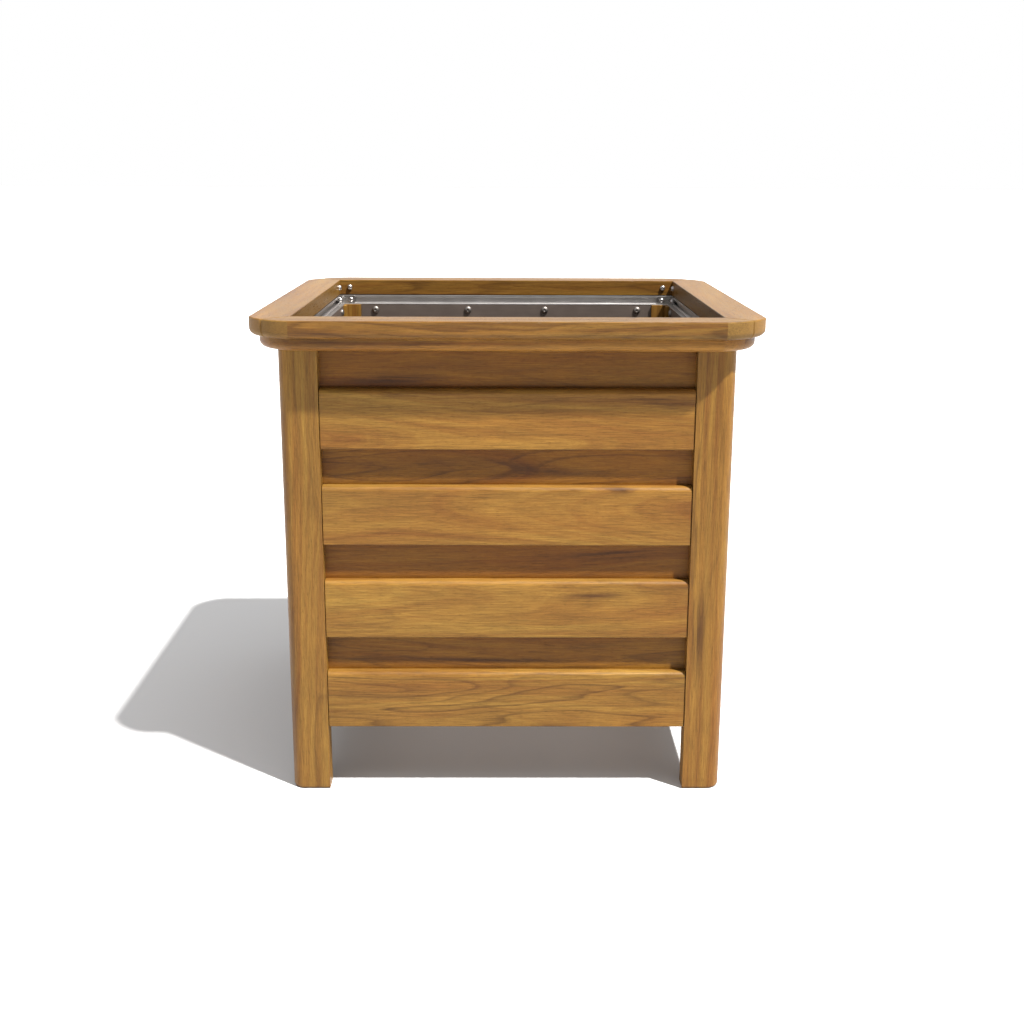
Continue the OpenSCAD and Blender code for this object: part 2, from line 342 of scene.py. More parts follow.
def show(mesh, node, place=Matrix(), seed=0.0, heart=(0.0, 0.1, 0.0)):
    """Puts a mesh in place of a CAD node. Seed, heart, figure and streak vary its grain."""
    piece = put("made_" + node, mesh)
    piece.matrix_world = place
    weighted = piece.modifiers.new("even shading", "WEIGHTED_NORMAL")
    weighted.keep_sharp = True
    piece["seed"] = float(seed)
    piece["heart"] = [float(v) for v in heart]
    usual = (0.3 + 0.3 * math.sin(5 * seed), 0.3 * math.sin(3 * seed), 0.0, 0.05)
    figure, along, across, reach = FIGURED.get(node, usual)
    piece["figure"] = figure
    piece["streak"] = [along, across, reach]
    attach(piece, BODY)
    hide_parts(node)
    return piece


# --- materials ---


class Wiring:
    """Adds and joins the nodes of one material or surround."""

    def __init__(self, name):
        self.material = bpy.data.materials.new(name)
        self.material.use_nodes = True
        self.open(self.material)
        self.shader = self.nodes["Principled BSDF"]

    def open(self, owner):
        self.nodes, self.links = owner.node_tree.nodes, owner.node_tree.links

    @classmethod
    def on(cls, owner):
        wiring = cls.__new__(cls)
        wiring.open(owner)
        return wiring

    def feed(self, socket, value):
        if isinstance(value, bpy.types.NodeSocket):
            self.links.new(value, socket)
        else:
            socket.default_value = value

    def add(self, kind, inputs=None, **settings):
        node = self.nodes.new("ShaderNode" + kind)
        for key, value in settings.items():
            setattr(node, key, value)
        for key, value in (inputs or {}).items():
            self.feed(node.inputs[key], value)
        return node

    def maths(self, operation, *values, clamp=False):
        node = self.add("Math", dict(enumerate(values)), operation=operation, use_clamp=clamp)
        return node.outputs[0]

    def times(self, first, *others):
        """The product of two or more values."""
        for other in others:
            first = self.maths("MULTIPLY", first, other)
        return first

    def vectors(self, operation, *values):
        node = self.add("VectorMath", dict(enumerate(values)), operation=operation)
        return node.outputs["Value" if operation == "LENGTH" else "Vector"]

    def own(self, name, socket="Fac"):
        """A property of the piece itself."""
        node = self.add("Attribute", attribute_type="OBJECT", attribute_name=name)
        return node.outputs[socket]

    def marked(self, name):
        """A value held on the mesh's faces."""
        return self.add("Attribute", attribute_name=name).outputs["Fac"]

    def noise(self, place, detail=2.0, roughness=0.5, distortion=0.0, output="Fac"):
        inputs = {
            "Vector": place, "Scale": 1.0, "Detail": detail, "Roughness": roughness,
            "Distortion": distortion,
        }
        return self.add("TexNoise", inputs).outputs[output]

    def grained(self, place, along, across, *settings, **named):
        """Noise with one scale along a piece and another across it."""
        scaled = self.vectors("MULTIPLY", place, (along, across, across))
        return self.noise(scaled, *settings, **named)

    def stretch(self, value, low, high, to_low=0.0, to_high=1.0, kind="SMOOTHSTEP"):
        """Maps low..high to to_low..to_high, held at the ends."""
        inputs = {0: value, 1: low, 2: high, 3: to_low, 4: to_high}
        return self.add("MapRange", inputs, interpolation_type=kind, clamp=True).outputs[0]

    def vary(self, value, low, high, to_low, to_high):
        """Maps low..high to to_low..to_high in a straight line, held at the ends."""
        return self.stretch(value, low, high, to_low, to_high, "LINEAR")

    def equal(self, value):
        """A vector or a grey with the same value three times."""
        return self.add("CombineXYZ", {0: value, 1: value, 2: value}).outputs[0]

    def blend(self, factor, first, second, kind="MIX"):
        inputs = {0: factor, 6: first, 7: second}
        return self.add("Mix", inputs, data_type="RGBA", blend_type=kind).outputs[2]

    def ramp(self, value, *stops):
        node = self.add("ValToRGB", {"Fac": value})
        held = node.color_ramp.elements
        while len(held) < len(stops):
            held.new(1.0)
        for element, (position, shade) in zip(held, stops):
            element.position = position
            element.color = shade
        return node.outputs["Color"]

    def surface(self, shade, rough, height, strength, depth):
        """Colour, roughness and relief of the shader."""
        bump = self.add("Bump", {"Strength": strength, "Distance": depth, "Height": height})
        self.feed(self.shader.inputs["Base Color"], shade)
        self.feed(self.shader.inputs["Roughness"], rough)
        self.feed(self.shader.inputs["Normal"], bump.outputs[0])


def solid(shade, tone=(1.0, 1.0, 1.0)):
    """A colour property as an opaque colour, with a tone laid over it."""
    return (*(min(1.0, c * t) for c, t in zip(shade, tone)), 1.0)


class Grain:
    """What the layers of one wood share: places along a piece and out from its heart line."""

    def __init__(self, w):
        self.w = w
        place = w.add("TexCoord").outputs["Object"]
        heart = w.own("heart", "Vector")
        self.seed = w.own("seed")
        self.figure = w.own("figure")
        self.shifted = w.vectors("ADD", place, self.seed)
        parts = w.add("SeparateXYZ", {0: place}).outputs
        self.along, self.rise = parts["X"], parts["Z"]
        # The grain wanders and ripples, so places are bent before the rings are measured.
        self.bent = place
        for along, across, detail, reach in ((1.1, 3.5, 1.0, 0.060), (5.0, 24.0, 3.0, 0.010)):
            bend = w.grained(self.shifted, along, across, detail, output="Color")
            bend = w.vectors("SUBTRACT", bend, (0.5, 0.5, 0.5))
            self.bent = w.vectors("MULTIPLY_ADD", bend, (0.0, reach, reach), self.bent)
        out = w.vectors("MULTIPLY", w.vectors("SUBTRACT", self.bent, heart), (0.0, 1.0, 1.0))
        tilt = w.add("SeparateXYZ", {0: heart}).outputs["X"]
        self.radius = w.maths("MULTIPLY_ADD", self.along, tilt, w.vectors("LENGTH", out))
        self.fibres = w.grained(self.shifted, 22.0, 640.0, 4.0, 0.7)
        swell = w.vectors("MULTIPLY", w.vectors("ADD", self.bent, self.seed), (1.7, 9.0, 19.0))
        ragged = w.maths("SUBTRACT", self.fibres, 0.5)
        self.swell = w.maths("MULTIPLY_ADD", ragged, 0.010, w.noise(swell, 1.5, 0.5))

    def rings(self, along, out, shift, detail, roughness):
        """Noise that follows the growth rings."""
        w = self.w
        scaled = {
            0: w.times(self.along, along),
            1: w.times(self.radius, out),
            2: w.maths("ADD", self.seed, shift),
        }
        return w.noise(w.add("CombineXYZ", scaled).outputs[0], detail, roughness)


def contour_lines(w, grain):
    """Long contours of the figure: some are thin dark lines, and the wood inside them is shaded."""
    contour = w.times(grain.swell, 9.0)
    within = w.maths("FRACT", contour)
    order = w.maths("ADD", w.maths("FLOOR", contour), grain.seed)
    chance = w.add("TexWhiteNoise", {"W": order}, noise_dimensions="1D").outputs["Value"]
    line = w.times(w.stretch(within, 0.50, 0.88), w.stretch(within, 0.88, 0.99, 1.0, 0.0))
    line = w.times(w.maths("POWER", line, 2.5), w.maths("POWER", chance, 1.5))
    line = w.times(line, w.maths("MULTIPLY_ADD", grain.figure, 0.85, 0.04))
    inside = w.times(w.times(chance, within), w.times(grain.figure, 0.22))
    return line, inside


def dark_streaks(w, grain):
    """Sparse dark streaks along the rings, and a bolder one where the piece says."""
    streaks = grain.rings(1.5, 75.0, 7.3, 5.0, 0.6)
    patches = w.grained(grain.shifted, 2.2, 11.0, 1.0)
    sparse = w.times(w.stretch(streaks, 0.57, 0.68), w.stretch(patches, 0.50, 0.68))
    sparse = w.times(sparse, w.maths("MULTIPLY_ADD", grain.figure, 0.3, 0.04))
    streak = w.add("SeparateXYZ", {0: w.own("streak", "Vector")}).outputs
    above = w.maths("SUBTRACT", grain.rise, streak["Y"])
    above = w.maths("MULTIPLY_ADD", w.maths("SUBTRACT", grain.swell, 0.5), 0.07, above)
    offset = {
        0: w.maths("DIVIDE", w.maths("SUBTRACT", grain.along, streak["X"]), streak["Z"]),
        1: w.times(above, 75.0),
    }
    away = w.vectors("LENGTH", w.add("CombineXYZ", offset).outputs[0])
    threads = grain.rings(3.0, 230.0, 2.1, 3.0, 0.6)
    bold = w.times(w.stretch(away, 0.0, 1.0, 1.0, 0.0), w.stretch(threads, 0.42, 0.56, 0.30))
    return w.maths("MAXIMUM", sparse, w.times(bold, 0.8))


def oiled_wood(name, tone=(1.0, 1.0, 1.0), polish=0.4):
    """Solid hardwood: growth rings round a heart line, dark figure, fibres and pores."""
    finish = bpy.context.scene.planter_finish
    w = Wiring(name)
    grain = Grain(w)
    # The blunt corners cut across the fibres: plain, olive and even.
    ends = w.marked("end_grain")
    keep = w.maths("MULTIPLY_ADD", ends, -0.85, 1.0)

    # Soft bands of paler and browner growth, and the dark figure over them.
    bands = grain.rings(1.3, 85.0, 0.0, 6.0, 0.68)
    shade = w.ramp(
        bands,
        (0.30, solid(finish.brown, tone)),
        (0.48, solid(finish.golden, tone)),
        (0.72, solid(finish.pale, tone)),
    )
    line, inside = contour_lines(w, grain)
    dark = w.maths("MAXIMUM", dark_streaks(w, grain), line, clamp=True)
    shade = w.blend(w.times(dark, keep), shade, solid(finish.streak))
    shade = w.blend(w.times(ends, 0.8), shade, solid(finish.end_grain, tone))

    # Fibres, hairline cracks and open pores, finer than the bands.
    hairs = w.grained(grain.shifted, 18.0, 260.0, 2.0, 0.5, 0.6)
    hairs = w.times(w.stretch(hairs, 0.62, 0.70), keep)
    pores = w.stretch(w.grained(grain.shifted, 90.0, 1500.0, 1.0), 0.58, 0.70)
    clouds = w.grained(grain.shifted, 4.5, 17.0, 2.0)
    light = w.times(
        w.vary(grain.fibres, 0.32, 0.68, 0.70, 1.30),
        w.vary(hairs, 0.0, 1.0, 1.0, 0.84),
        w.vary(pores, 0.0, 1.0, 1.0, 0.72),
        w.vary(clouds, 0.3, 0.7, 0.91, 1.09),
        w.maths("SUBTRACT", 1.0, inside),
    )
    # Rounded edges are painted lighter: partly wear, partly a painted highlight along the arrises.
    light = w.maths("MULTIPLY_ADD", w.marked("wear_and_highlight"), 0.12, light)
    shade = w.blend(1.0, shade, w.equal(light), "MULTIPLY")
    warm = w.grained(grain.shifted, 1.4, 7.0, 2.0)
    tints = w.ramp(warm, (0.36, (1.0, 0.95, 0.90, 1.0)), (0.64, (0.95, 1.0, 1.0, 1.0)))
    shade = w.blend(1.0, shade, tints, "MULTIPLY")

    rough = w.vary(grain.fibres, 0.3, 0.7, polish - 0.05, polish + 0.08)
    rough = w.maths("MULTIPLY_ADD", pores, 0.15, rough)
    rough = w.maths("MULTIPLY_ADD", ends, 0.25, rough)
    height = w.maths("MULTIPLY_ADD", bands, 0.4, w.times(grain.fibres, 0.6))
    height = w.maths("MULTIPLY_ADD", w.maths("ADD", pores, hairs), -0.4, height)
    w.surface(shade, rough, height, 0.4, 0.0005)
    w.shader.inputs["IOR"].default_value = 1.26
    return w.material


def brushed_steel(name, shade, rough=0.32, metal=1.0, grit=0.12):
    """Steel with fine brush lines along its length, handling marks and a soft gloss; its rounded edges
    are painted lighter, partly as wear, partly as a painted highlight.
    """
    w = Wiring(name)
    place = w.add("TexCoord").outputs["Object"]
    shifted = w.vectors("ADD", place, w.own("seed"))
    lines = w.grained(shifted, 9.0, 1500.0, 3.0, 0.6)
    marks = w.grained(shifted, 35.0, 35.0, 3.0, 0.6)
    light = w.times(w.vary(lines, 0.3, 0.7, 1 - grit, 1 + grit), w.vary(marks, 0.3, 0.7, 0.95, 1.05))
    # Rounded edges painted lighter: partly wear, partly a painted highlight.
    light = w.maths("MULTIPLY_ADD", w.marked("wear_and_highlight"), 0.25, light)
    spread = w.vary(lines, 0.3, 0.7, rough - 0.06, rough + 0.08)
    spread = w.maths("ADD", spread, w.stretch(marks, 0.45, 0.75, 0.0, 0.04))
    height = w.maths("MULTIPLY_ADD", marks, 0.3, lines)
    w.surface(w.blend(1.0, solid(shade), w.equal(light), "MULTIPLY"), spread, height, 0.08, 0.0001)
    w.shader.inputs["Metallic"].default_value = metal
    return w.material


def finish_for(slot):
    """The material of a record slot, made once."""
    name = slot + "_finish"
    found = bpy.data.materials.get(name)
    if found:
        return found
    finish = bpy.context.scene.planter_finish
    makers = {
        "post_wood": lambda: oiled_wood(name),
        "board_wood": lambda: oiled_wood(name),
        # The recessed boards take a darker, redder copy of the wood: mostly painted shade, as they sit
        # back in the shadow of the proud boards.
        "infill_wood": lambda: oiled_wood(name, (0.82, 0.66, 0.40)),
        "cap_wood": lambda: oiled_wood(name, (0.86, 0.84, 0.86), polish=0.3),
        "moulding_wood": lambda: oiled_wood(name, (1.08, 1.0, 0.95)),
        "frame_wood": lambda: oiled_wood(name, (0.8, 0.8, 0.8), polish=0.6),
        "channel_steel": lambda: brushed_steel(name, finish.bright_steel, 0.34, grit=0.06),
        "lining_steel": lambda: brushed_steel(name, finish.grey_steel, 0.45, 0.7, 0.05),
        "plate_steel": lambda: brushed_steel(name, finish.plate_steel, 0.26, grit=0.05),
        "bright_fastener": lambda: brushed_steel(name, finish.bright_steel, 0.32, grit=0.05),
        "dull_fastener": lambda: brushed_steel(name, finish.dull_steel, 0.48, grit=0.05),
    }
    return makers[slot]()


# --- timber ---


def post_outline(reach, inner, arm, corner, inset):
    """Plan of the front left post, with its two outer faces moved in by the inset."""
    centre = reach - corner
    round_by = corner - inset
    steps = 8
    points = [(-inner, -reach + inset)]
    for i in range(steps + 1):
        turn = math.pi * (1.5 - 0.5 * i / steps)
        points.append((-centre + round_by * math.cos(turn), -centre + round_by * math.sin(turn)))
    points.append((-reach + inset, -inner))
    notch = reach - arm
    points += [(-notch, -inner), (-notch, -notch), (-inner, -notch)]
    return points


def make_posts():
    """Corner posts: an L-section with grooves for the walls and a rounded foot."""
    shape = bpy.context.scene.planter_shape
    low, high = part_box("post_front_left")
    reach, inner = -low.x, -high.x
    infill_low, infill_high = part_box("infill_front_1")
    groove_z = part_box(f"board_front_{ROWS[-1]}")[0].z
    levels = list(quarter(shape.foot_round, 5)) + [(high.z, 0.0)]
    rings = []
    for rise, inset in levels:
        plan = post_outline(reach, inner, shape.post_arm, shape.post_round, inset)
        rings.append([(rise, x, y) for x, y in plan])
    bm = soften(loft(rings), shape.arris)
    deep = inner + shape.groove
    past = 0.01
    top, open_side = high.z + past, -inner + past
    low_side, high_side = infill_low.y, infill_high.y
    bm = combine(bm, block((groove_z, -deep, low_side), (top, open_side, high_side)))
    bm = combine(bm, block((groove_z, low_side, -deep), (top, high_side, open_side)))
    upright = Matrix(((0, 1, 0, 0), (0, 0, 1, 0), (1, 0, 0, 0), (0, 0, 0, 1)))
    mesh = finished(bm, "post_wood")
    for k, corner in enumerate(CORNERS):
        heart = (0.012, -0.29 - 0.02 * k, -0.30 + 0.015 * k)
        show(mesh.copy(), "post_" + corner, turned(k, upright), 3.1 + 1.7 * k, heart)


def wall_bolts():
    """x places of the lining bolts along a wall, as shares of the width between the posts."""
    inner = -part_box("post_front_left")[1].x
    return [s * share * 2 * inner for s in (-1, 1) for share in BOLT_SHARES]


def bolt_rows():
    """Heights of the rows of lining bolts, from the top."""
    low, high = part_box("lining_bolts")
    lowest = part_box(f"board_front_{ROWS[-1]}")[0].z
    rise = low.z + LINING_HEAD - lowest
    return [high.z - LINING_HEAD] + [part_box(f"board_front_{n}")[0].z + rise for n in ROWS]


def bolt_holes(back, row):
    """Tools that bore a row of lining bolts into the back of a board."""
    shape = bpy.context.scene.planter_shape
    places = [(x, row) for x in wall_bolts()]
    return pegs(places, back + PAST, back - shape.bolt_bite, shape.shank)


def make_board(n):
    """Proud board n of each wall: a nosed face on a grooved-in tongue."""
    shape = bpy.context.scene.planter_shape
    low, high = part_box(f"board_front_{n}")
    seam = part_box("infill_front_1")[0].y
    shoulder = -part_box("post_front_left")[1].x - shape.shoulder
    nose = list(quarter(shape.nose, 7))
    section = [(seam, low.z)]
    section += [(low.y + inset, low.z + drop) for drop, inset in quarter(shape.drip, 4)]
    section += [(low.y + inset, high.z - drop) for drop, inset in reversed(nose)]
    section += [(seam, high.z)]
    bm = soften(sweep(section, -shoulder, shoulder), shape.arris)
    low_lap = 0.0 if n == ROWS[-1] else shape.lap
    tongue = block((low.x, seam, low.z + low_lap), (high.x, high.y, high.z - shape.lap))
    bm = combine(bm, tongue, "UNION")
    mesh = finished(combine(bm, bolt_holes(high.y, bolt_rows()[n])), "board_wood")
    for k, side in enumerate(SIDES):
        seed = 11.0 + 7.3 * k + 2.9 * n
        heart = (0.03 * math.sin(seed), low.y + 0.07 + 0.03 * math.sin(2 * seed),
                 low.z + 0.054 + 0.05 * math.sin(3 * seed))
        show(mesh.copy(), f"board_{side}_{n}", turned(k), seed, heart)


def make_infill(n):
    """Recessed board n of each wall, lapped behind the proud boards."""
    shape = bpy.context.scene.planter_shape
    low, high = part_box(f"infill_front_{n}")
    bm = soften(block(low, high), shape.arris)
    if n == ROWS[0]:
        bm = combine(bm, bolt_holes(high.y, bolt_rows()[0]))
    mesh = finished(bm, "infill_wood")
    for k, side in enumerate(SIDES):
        seed = 57.0 + 5.1 * k + 3.7 * n
        heart = (0.03 * math.sin(seed), low.y + 0.08, low.z + 0.04 + 0.06 * math.sin(2 * seed))
        show(mesh.copy(), f"infill_{side}_{n}", turned(k), seed, heart)


def arc_centre():
    """How far out the centres of the rim's corner arcs stand. The cap's mitre tells it."""
    shape = bpy.context.scene.planter_shape
    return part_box("cap_front")[1].x - shape.cap_corner * math.sqrt(0.5)


def rail_plan(face, inner, reach, vee, end, height):
    """Plan of a front rim rail at one height. Its ends stand back from the mitres by `end`.

    Blunt arcs lead to the mitres, and their tips are chamfered to a fine vee.
    """
    steps = 10
    centre = arc_centre()
    start = math.acos((face - centre) / reach)
    stop = math.pi / 4 - math.asin((end + vee) / reach)
    tip = centre + (reach - vee) * math.sqrt(0.5)
    back = end * math.sqrt(0.5)
    side = [(inner - 2 * back, -inner), (tip - back, -tip - back)]
    for i in range(steps + 1):
        turn = stop + (start - stop) * i / steps
        side.append((centre + reach * math.sin(turn), -centre - reach * math.cos(turn)))
    return [(-x, y, height) for x, y in side] + [(x, y, height) for x, y in reversed(side)]


def rail(node, top_round, under_round, vee):
    """A front rim rail, built up from plans at rising heights."""
    shape = bpy.context.scene.planter_shape
    low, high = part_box(node)
    face, inner = -low.y, -high.y
    reach = shape.cap_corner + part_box("cap_front")[0].y + face
    levels = [(low.z + drop, inset, 0.0, 0.0) for drop, inset in quarter(under_round, 9)]
    for drop, inset in reversed(list(quarter(top_round, 8))):
        share = inset / top_round
        levels.append((high.z - drop, inset, share * shape.arris, share * vee))
    bm = loft([rail_plan(face - inset, inner + arris, reach - inset, vee, end, z)
               for z, inset, arris, end in levels])
    return bm


def mark_ends(bm):
    """Marks the outer faces of the cap's blunt corners, which cut across the fibres."""
    shape = bpy.context.scene.planter_shape
    layer = bm.faces.layers.float.new("end_grain")
    blunt = math.sqrt(shape.cap_corner ** 2 - (-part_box("cap_front")[0].y - arc_centre()) ** 2)
    for part in bm.faces:
        middle = part.calc_center_median()
        beyond = abs(middle.x) > arc_centre() + blunt - shape.cap_under / 3
        part[layer] = float(beyond and middle.y < -arc_centre() and abs(part.normal.z) < 0.9)


def make_caps():
    """Cap rails, with a fine vee at their mitres."""
    low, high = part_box("cap_front")
    shape = bpy.context.scene.planter_shape
    bm = rail("cap_front", shape.cap_top, shape.cap_under, shape.mitre_vee)
    mark_ends(bm)
    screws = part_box("cap_screws")
    places = [(s * (-high.y - shape.screw_in), mid_height("cap_front")) for s in (-1, 1)]
    bm = combine(bm, pegs(places, high.y + PAST, screws[0].y, shape.shank))
    for s in (-1, 1):
        bm = combine(bm, spline_slot(s))
    mesh = finished(bm, "cap_wood", RAIL_LIMIT)
    for k, side in enumerate(SIDES):
        heart = (0.006, low.y - 0.05, low.z - 0.16)
        show(mesh.copy(), "cap_" + side, turned(k), 90.0 + 6.7 * k, heart)


def spline_slot(s):
    """The slot for the spline across the front mitre on side s."""
    low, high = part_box("cap_splines")
    half_long, half_wide = 0.023, 0.015
    at = high.x - (half_long + half_wide) * math.sqrt(0.5)
    bm = block((-half_long, -half_wide, low.z), (half_long, half_wide, high.z))
    bm.transform(Matrix.Translation((s * at, -at, 0)) @ Matrix.Rotation(-s * math.pi / 4, 4, "Z"))
    return bm


def finish_splines():
    """Gives the hidden splines their wood. They keep their CAD shape."""
    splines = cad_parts["cap_splines"]
    splines["seed"] = 161.0
    splines["heart"] = [0.0, 0.3, 0.6]
    splines["figure"] = 0.0
    splines["streak"] = [0.0, 0.0, 0.05]
    for held in splines.material_slots:
        held.material = finish_for("frame_wood")


def make_mouldings():
    """Bed moulding rails, under the cap."""
    shape = bpy.context.scene.planter_shape
    low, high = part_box("moulding_front")
    bm = rail("moulding_front", shape.arris, shape.mould_under, shape.arris / 3)
    bolts = "corner_plate_bolts"
    reach = -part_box("cap_front")[1].y - shape.bolt_in
    places = [(s * reach, mid_height(bolts)) for s in (-1, 1)]
    bm = combine(bm, pegs(places, high.y + PAST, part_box(bolts)[0].y, shape.thin_shank))
    mesh = finished(bm, "moulding_wood", RAIL_LIMIT)
    for k, side in enumerate(SIDES):
        heart = (0.008, low.y - 0.03, low.z - 0.12)
        show(mesh.copy(), "moulding_" + side, turned(k), 130.0 + 4.9 * k, heart)


def make_floor_frame():
    """The battens round the walls and the bearers across them."""
    shape = bpy.context.scene.planter_shape
    low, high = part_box("floor_cleats")
    bearer_low, bearer_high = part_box("floor_bearers")
    deep = high.z - low.z - (bearer_high.z - bearer_low.z)
    gap = 0.002
    half = -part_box("post_front_left")[1].x - gap
    bm = bmesh.new()
    for k in range(4):
        lift = (k % 2) * (high.z - low.z - deep)
        bar = block((-half, low.y, low.z + lift), (half, low.y + deep, low.z + lift + deep))
        bar.transform(turned(k))
        join(bm, bar)
    mesh = finished(soften(bm, shape.arris), "frame_wood")
    show(mesh, "floor_cleats", seed=171.0, heart=(0.0, 0.5, 0.2))
    bm = bmesh.new()
    half_wide = 0.030
    for x in (bearer_low.x + half_wide, 0.0, bearer_high.x - half_wide):
        bar = block((bearer_low.y, x - half_wide, bearer_low.z),
                    (bearer_high.y, x + half_wide, bearer_high.z))
        join(bm, bar)
    mesh = finished(soften(bm, shape.arris), "frame_wood")
    show(mesh, "floor_bearers", turned(1), 175.0, (0.01, 0.4, 0.1))


def join(bm, other):
    """Adds another mesh's faces to a mesh. The other is used up."""
    mesh = bpy.data.meshes.new("joined")
    other.to_mesh(mesh)
    other.free()
    bm.from_mesh(mesh)
    bpy.data.meshes.remove(mesh)


# --- steelwork ---


def make_channels():
    """Lipped channels, mitred at both ends. Each has a foot that covers the wall's top."""
    shape = bpy.context.scene.planter_shape
    low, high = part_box("channel_front")
    back, foot, sheet, lip = low.y, high.y, shape.sheet, shape.lip
    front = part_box("cap_front")[1].y
    section = [
        (back, low.z), (foot, low.z), (foot, low.z + sheet), (front, low.z + sheet),
        (front, low.z + lip), (front - sheet, low.z + lip), (front - sheet, low.z + sheet),
        (back + sheet, low.z + sheet), (back + sheet, high.z - sheet),
        (front - sheet, high.z - sheet), (front - sheet, high.z - lip), (front, high.z - lip),
        (front, high.z), (back, high.z),
    ]
    rings = [[(side * -y, y, z) for y, z in section] for side in (-1, 1)]
    bm = soften(loft(rings), CHANNEL_ARRIS)
    places = [(s * (-front - shape.bolt_in), mid_height("channel_front")) for s in (-1, 1)]
    bm = combine(bm, pegs(places, foot, back - PAST, shape.thin_shank))
    mesh = finished(bm, "channel_steel")
    for k, side in enumerate(SIDES):
        show(mesh.copy(), "channel_" + side, turned(k), 210.0 + k)


def make_linings():
    """Lining plates, drilled for their bolts."""
    low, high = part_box("lining_front")
    bm = soften(block(low, high), PLATE_ARRIS)
    shank = bpy.context.scene.planter_shape.shank
    places = [(x, z) for x in wall_bolts() for z in bolt_rows()]
    bm = combine(bm, pegs(places, low.y - PAST, high.y + PAST, shank))
    mesh = finished(bm, "lining_steel")
    for k, side in enumerate(SIDES):
        show(mesh.copy(), "lining_" + side, turned(k), 220.0 + k)


def plate_leg(corner, bolt_z):
    """The leg of the front left corner plate that lies on the front channel."""
    shape = bpy.context.scene.planter_shape
    low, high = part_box("corner_plates")
    end = shape.plate_leg - corner
    outline = [(-corner, low.z)]
    outline += [(end - inset, low.z + drop) for drop, inset in quarter(shape.plate_end, 5)]
    top = reversed(list(quarter(shape.plate_end, 5)))
    outline += [(end - inset, high.z - drop) for drop, inset in top]
    outline.append((-corner, high.z))
    rings = [[(x, y, z) for x, z in outline] for y in (-corner, -corner + shape.plate)]
    bm = soften(loft(rings), PLATE_ARRIS)
    hole = pegs([(-corner + shape.bolt_in, bolt_z)], -corner - PAST, -corner + 2 * shape.plate,
                shape.thin_shank)
    return combine(bm, hole)


def make_corner_plates():
    """Four angle plates inside the corners of the channel ring."""
    corner = -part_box("cap_front")[1].y
    bolt_z = mid_height("corner_plate_bolts")
    bm = bmesh.new()
    swap = Matrix(((0, 1, 0, 0), (1, 0, 0, 0), (0, 0, 1, 0), (0, 0, 0, 1)))
    for k in range(4):
        other = plate_leg(corner, bolt_z)
        other.transform(swap)
        bmesh.ops.reverse_faces(other, faces=other.faces)
        plate = combine(plate_leg(corner, bolt_z), other, "UNION")
        plate.transform(turned(k))
        join(bm, plate)
    show(finished(bm, "plate_steel"), "corner_plates", seed=231.0)


def make_floor_plate():
    """The perforated floor plate, cut out round the posts."""
    shape = bpy.context.scene.planter_shape
    low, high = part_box("floor_plate")
    post_low, post_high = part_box("post_front_left")
    gap = 0.0005
    between = -post_high.x - gap
    notch = -post_low.x - shape.post_arm - gap
    reach = high.x
    corner = [(between, reach), (between, notch), (notch, notch), (notch, between), (reach, between)]
    plan = []
    for k in range(4):
        turn = Matrix.Rotation(-math.pi / 2 * k, 2)
        plan += [turn @ Vector(p) for p in corner]
    bm = loft([[(p.x, p.y, z) for p in plan] for z in (low.z, high.z)])
    bm = soften(bm, PLATE_ARRIS)
    holes = bmesh.new()
    steps = 32
    radius = shape.drain / 2
    turns = [2 * math.pi * i / steps for i in range(steps)]
    circle = [(radius * math.cos(t), radius * math.sin(t)) for t in turns]
    for x in DRAIN_COLUMNS:
        for row in range(-2, 3):
            y = DRAIN_PITCH * row
            loft([[(x + a, y + b, z) for a, b in circle] for z in (low.z - PAST, high.z + PAST)], holes)
    mesh = finished(combine(bm, holes), "lining_steel")
    show(mesh, "floor_plate", seed=236.0)


# --- fasteners ---


def make_fasteners(node, slot, places, tip, seat, head, height, shank, seed):
    """Screws at (x, z) places on every side, as one piece."""
    bm = bmesh.new()
    for k in range(4):
        side = bmesh.new()
        for x, z in places:
            bolt(side, x, z, tip, seat, head, height, shank)
        side.transform(turned(k))
        join(bm, side)
    show(finished(bm, slot), node, seed=seed)


def make_cap_screws():
    """Two screws in the inner face of each cap rail."""
    shape = bpy.context.scene.planter_shape
    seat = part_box("cap_front")[1].y
    low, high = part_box("cap_screws")
    places = [(s * (-seat - shape.screw_in), mid_height("cap_screws")) for s in (-1, 1)]
    make_fasteners("cap_screws", "bright_fastener", places, low.y, seat,
                   (high.z - low.z) / 2, CAP_HEAD_RISE, shape.shank, 241.0)


def make_plate_bolts():
    """Two bolts in each channel, through the corner plates."""
    shape = bpy.context.scene.planter_shape
    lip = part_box("cap_front")[1].y
    low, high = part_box("corner_plate_bolts")
    places = [(s * (-lip - shape.bolt_in), mid_height("corner_plate_bolts")) for s in (-1, 1)]
    make_fasteners("corner_plate_bolts", "bright_fastener", places, low.y, lip + shape.plate,
                   (high.z - low.z) / 2, PLATE_HEAD_RISE, shape.thin_shank, 242.0)


def make_lining_bolts():
    """Rows of bolts that hold each lining plate to the boards behind it."""
    shape = bpy.context.scene.planter_shape
    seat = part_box("lining_front")[1].y
    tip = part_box("lining_bolts")[0].y
    places = [(x, z) for x in wall_bolts() for z in bolt_rows()]
    make_fasteners("lining_bolts", "dull_fastener", places, tip, seat,
                   LINING_HEAD, LINING_HEAD_RISE, shape.shank, 243.0)


# --- stage ---


